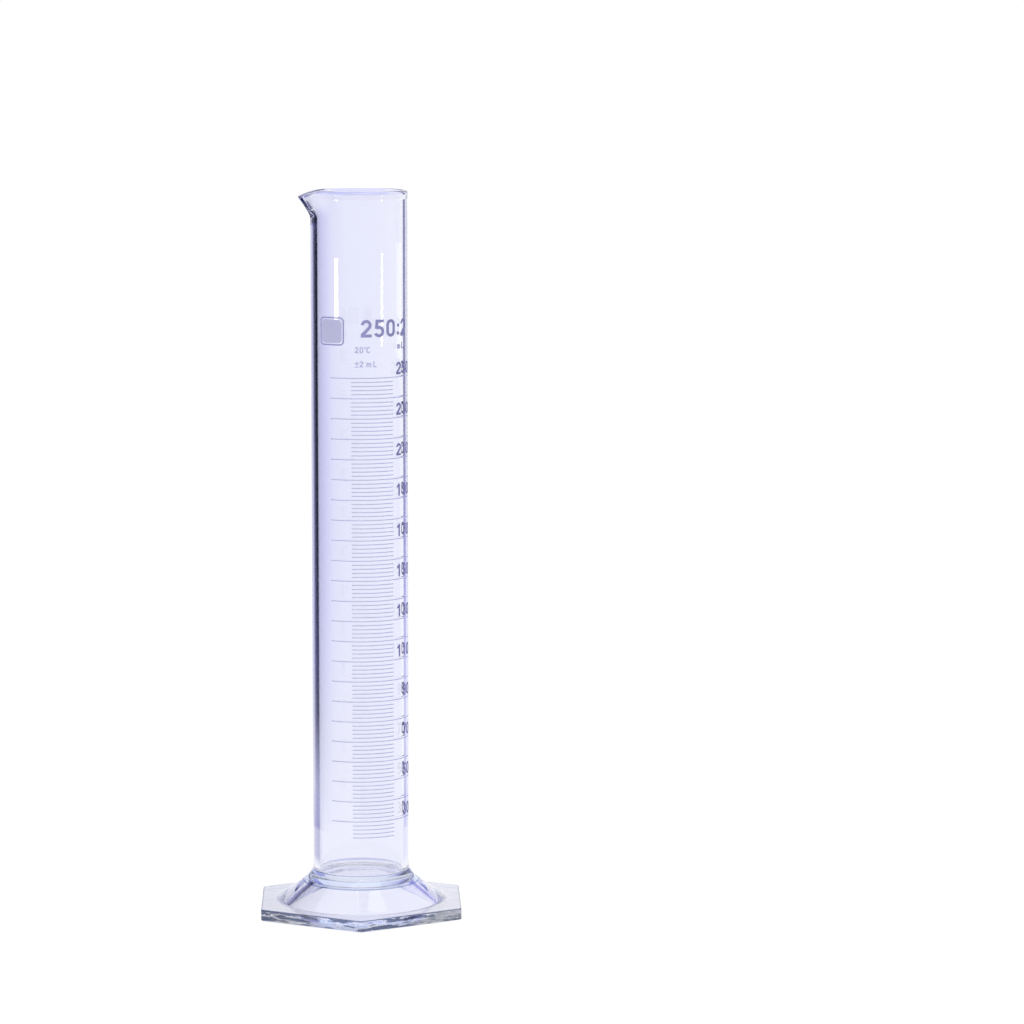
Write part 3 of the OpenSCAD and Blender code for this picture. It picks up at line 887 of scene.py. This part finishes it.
def white_room(strength):
    """A world that is white where it is seen and lights the object evenly."""
    world = bpy.data.worlds.new("white_room")
    bpy.context.scene.world = world
    world.use_nodes = True
    tree = world.node_tree
    level = add_node(
        tree, "ShaderNodeMapRange", Value=seen_rays(tree), To_Min=strength, To_Max=1)
    background = tree.nodes["Background"]
    background.inputs["Color"].default_value = (1, 1, 1, 1)
    tree.links.new(level.outputs[0], background.inputs["Strength"])


def floor_material():
    """A table top that renders pale where nothing shades it and still takes the shadow."""
    material, tree, output = empty_material("table_top")
    board = add_node(tree, "ShaderNodeBsdfDiffuse", Color=(*[FLOOR_GREY] * 3, 1))
    lift = calculate(tree, "MULTIPLY", seen_rays(tree), FLOOR_GLOW)
    glow = add_node(tree, "ShaderNodeEmission", Strength=lift)
    both = tree.nodes.new("ShaderNodeAddShader")
    tree.links.new(board.outputs[0], both.inputs[0])
    tree.links.new(glow.outputs[0], both.inputs[1])
    tree.links.new(both.outputs[0], output.inputs["Surface"])
    return material


def lay_floor():
    """Lays the table top just under the foot, so that their faces don't share a plane."""
    deselect_all()
    bpy.ops.mesh.primitive_circle_add(
        vertices=64, radius=FLOOR_RADIUS, fill_type="NGON", location=(0, 0, -FLOOR_GAP))
    floor = bpy.context.active_object
    floor.name = "table_top"
    floor.data.materials.append(floor_material())


def card_material(name, first):
    """A dark filter that paints shade into what glass shows: rays that few faces have let through
    take its edge colour.

    All others take its through colour. With first at 1, rays that no face has let through, such
    as a plain reflection, are among the others.
    """
    material, tree, output = empty_material(name)
    depth = tree.nodes.new("ShaderNodeLightPath").outputs["Transmission Depth"]
    middle, reach = (FEW_FACES + first) / 2, (FEW_FACES - first) / 2 + 0.1
    few = calculate(tree, "COMPARE", depth, middle, reach)
    through, edge = (
        add_node(tree, "ShaderNodeVertexColor", layer_name=layer).outputs["Color"]
        for layer in ("through", "edge"))
    shade_filter = add_node(
        tree, "ShaderNodeBsdfTransparent", Color=mix_colours(tree, few, through, edge))
    tree.links.new(shade_filter.outputs[0], output.inputs["Surface"])
    return material


def between(table, at):
    """Reads a table of (place, value) pairs, straight between them."""
    if at <= table[0][0]:
        return table[0][1]
    for (x0, y0), (x1, y1) in zip(table, table[1:]):
        if at <= x1:
            return y0 + (y1 - y0) * (at - x0) / (x1 - x0)
    return table[-1][1]


def card_shade(tables, turn, height, power):
    """What a card lets through at a turn and a height: the shade that it paints into the glass.

    The first table gives it for each turn, in degrees from straight behind and minus to the left.
    The others say how far that counts at each height, on the left and on the right. Half dark it
    is violet and full dark it is black. On the right it is bluer, and near the table greyer.
    """
    round_table, left_table, right_table = tables
    up = between(left_table if turn < 0 else right_table, height)
    clear = max(0.0, 1 - (1 - between(round_table, turn)) * up)
    power *= between(THIN_SHADE, height) + THICK_SHADE * max(1 - math.sqrt(clear), 0) ** 1.5
    if turn >= 0:
        power *= RIGHT_SHADE
    return clear, clear, clear**power, 1.0


def stand_card(name, radius, height, edge, through, first=0):
    """A curved card on the table round the object."""
    profile = [(radius, height * i / CARD_ROWS) for i in range(CARD_ROWS + 1)]
    shade_card(spin_profile(name, profile, CARD_STEPS), edge, through, first=first)


def stand_plate(name, low, high, edge, through, power):
    """A small flat card that faces the front, between two corners."""
    deselect_all()
    bpy.ops.mesh.primitive_grid_add(
        x_subdivisions=1, y_subdivisions=CARD_ROWS, size=1,
        location=(Vector(low) + Vector(high)) / 2, rotation=(math.pi / 2, 0, 0))
    card = bpy.context.active_object
    card.name = name
    card.scale = (high[0] - low[0], high[2] - low[2], 1)
    bpy.ops.object.transform_apply(location=True, rotation=True, scale=True)
    shade_card(card, edge, through, power=power)


def shade_card(card, edge, through, power=1.0, first=0):
    """Gives a card its painted shades and hides it from all but the rays that glass has sent on."""
    places = [(math.degrees(math.atan2(v.co.x, v.co.y)), v.co.z) for v in card.data.vertices]
    for layer, tables in (("edge", edge), ("through", through)):
        shade = card.data.color_attributes.new(layer, "FLOAT_COLOR", "POINT")
        for (turn, height), entry in zip(places, shade.data):
            entry.color = card_shade(tables, turn, height, power)
    card.data.materials.append(card_material(card.name, first))
    for flag in ("visible_camera", "visible_diffuse", "visible_shadow", "visible_volume_scatter"):
        setattr(card, flag, False)


def stand_near_card():
    """The card that darkens the tube's two limbs and shades the left half of its wall."""
    limbs = [
        (-110, 1.0), (-85, 0.3), (-70, 0.02), (-44, 0.003), (-36, 0.01), (-31, 0.17),
        (-23.5, 0.6), (-13.5, 0.87), (-6, 1.0), (27.5, 1.0), (29, 0.03), (43, 0.03), (45, 1.0),
        (110, 1.0)]
    left_limb = [
        (0, 0.3), (0.01, 0.5), (0.03, 0.7), (0.058, 0.93), (0.1, 0.97), (0.14, 0.99), (0.2, 1.0),
        (0.297, 1.0), (0.306, 0.0)]
    right_limb = [
        (0, 0.25), (0.01, 0.6), (0.058, 0.5), (0.1, 0.69), (0.14, 0.87), (0.2, 1.0),
        (0.312, 1.0), (0.32, 0.0)]
    wall = [
        (-60, 1.0), (-50, 0.7), (-20, 0.7), (-12, 0.77), (-8, 0.86), (-4, 0.92), (0, 0.955),
        (8, 0.985), (30, 1.0)]
    left_wall = [
        (0, 0.12), (0.03, 0.4), (0.06, 0.64), (0.1, 0.82), (0.14, 0.98), (0.2, 1.0), (0.26, 0.85)]
    right_wall = [(0, 1.0)]
    stand_card(
        "near_card", radius=0.2, height=0.34, edge=(limbs, left_limb, right_limb),
        through=(wall, left_wall, right_wall))


def stand_keel_card():
    """The small card that darkens the spout's keel."""
    keel = [(0.3035, 0.0), (0.305, 1.0), (0.3172, 1.0), (0.3182, 0.3)]
    stand_plate(
        "keel_card", low=(-0.0348, 0.0066, 0.3), high=(-0.0225, 0.0066, 0.3182),
        edge=([(0, 0.012)], keel, NOWHERE), through=CLEAR, power=0.6)


def stand_foot_card():
    """The low card that shades what the foot's cone and flange let through."""
    cone = [
        (-85, 1.0), (-75, 0.5), (-26, 0.5), (-20, 1.0), (25, 1.0), (32, 0.8), (60, 0.8), (70, 1.0)]
    rise_and_fade = [(0.0105, 0.0), (0.0145, 1.0), (0.03, 1.0), (0.048, 0.0)]
    stand_card(
        "foot_card", radius=0.058, height=0.06, edge=(cone, rise_and_fade, rise_and_fade),
        through=CLEAR, first=1)


def hang_lamp(name, place, size, power, aim):
    """A soft box at a place, turned to face a point."""
    deselect_all()
    bpy.ops.object.light_add(type="AREA", location=place)
    lamp = bpy.context.active_object
    lamp.name = name
    lamp.data.shape = "RECTANGLE"
    lamp.data.size, lamp.data.size_y = size
    lamp.data.energy = power
    lamp.rotation_euler = (Vector(aim) - Vector(place)).to_track_quat("-Z", "Y").to_euler()
    lamp.visible_camera = False
    lamp.visible_transmission = False


def place_camera(stage):
    """Places the camera in front, looking down and past the axis a little."""
    deselect_all()
    aim = Euler((math.pi / 2 - stage.camera_pitch, 0, -stage.camera_yaw)).to_matrix()
    lean = Matrix.Rotation(stage.camera_roll, 3, "Z")
    bpy.ops.object.camera_add(
        location=(0, -stage.camera_distance, stage.camera_height),
        rotation=(aim @ lean).to_euler())
    camera = bpy.context.active_object
    camera.name = "camera"
    camera.data.sensor_width = SENSOR_WIDTH
    camera.data.lens = stage.lens
    camera.data.clip_end = 2 * FLOOR_RADIUS
    bpy.context.scene.camera = camera


class GLASSWARE_OT_set_stage(bpy.types.Operator):
    """Lay the table, stand the cards, hang the lamps and place the camera"""

    bl_idname = "glassware.set_stage"
    bl_label = "Set Stage"

    def execute(self, context):
        stage = context.scene.glassware_stage
        white_room(stage.room_light)
        lay_floor()
        stand_near_card()
        stand_keel_card()
        stand_foot_card()
        middle = (0, 0, STRIP_HEIGHT)
        hang_lamp("left_strip", (-1.191, -0.824, STRIP_HEIGHT), (0.245, 0.065), 0.72, middle)
        hang_lamp("right_strip", (1.186, -0.833, STRIP_HEIGHT), (0.12, 0.0725), 0.39, middle)
        hang_lamp("side_strip", (1.367, 0.418, STRIP_HEIGHT), (0.5, 0.09), 0.2, middle)
        hang_lamp("top_box", (0.3, -0.6, 2.2), (1.6, 1.6), 10, (0, 0, 0.1))
        place_camera(stage)
        scene = context.scene
        scene.view_settings.view_transform = "Standard"
        for kind in ("max_bounces", "transmission_bounces", "glossy_bounces"):
            setattr(scene.cycles, kind, LIGHT_BOUNCES)
        return {"FINISHED"}


# ---- Panel and registration ----

STEPS = (
    "glassware.fuse_vessel", "glassware.fire_scale", "glassware.fire_patch", "glassware.set_stage")


class GLASSWARE_PT_steps(bpy.types.Panel):
    """The steps that make the graduated cylinder"""

    bl_label = "Graduated Cylinder"
    bl_space_type = "VIEW_3D"
    bl_region_type = "UI"
    bl_category = "Glassware"

    def draw(self, context):
        for step in STEPS:
            self.layout.operator(step)


SETTINGS = {
    "glassware_tube": TubeSettings,
    "glassware_foot": FootSettings,
    "glassware_finish": FinishSettings,
    "glassware_stage": StageSettings,
}
CLASSES = (
    *SETTINGS.values(),
    GLASSWARE_OT_fuse_vessel,
    GLASSWARE_OT_fire_scale,
    GLASSWARE_OT_fire_patch,
    GLASSWARE_OT_set_stage,
    GLASSWARE_PT_steps,
)


def register():
    for cls in CLASSES:
        bpy.utils.register_class(cls)
    for name, settings in SETTINGS.items():
        setattr(bpy.types.Scene, name, PointerProperty(type=settings))


def unregister():
    for name in SETTINGS:
        delattr(bpy.types.Scene, name)
    for cls in reversed(CLASSES):
        bpy.utils.unregister_class(cls)


def main():
    register()
    for step in STEPS:
        area, name = step.split(".")
        getattr(getattr(bpy.ops, area), name)()


if __name__ == "__main__":
    main()
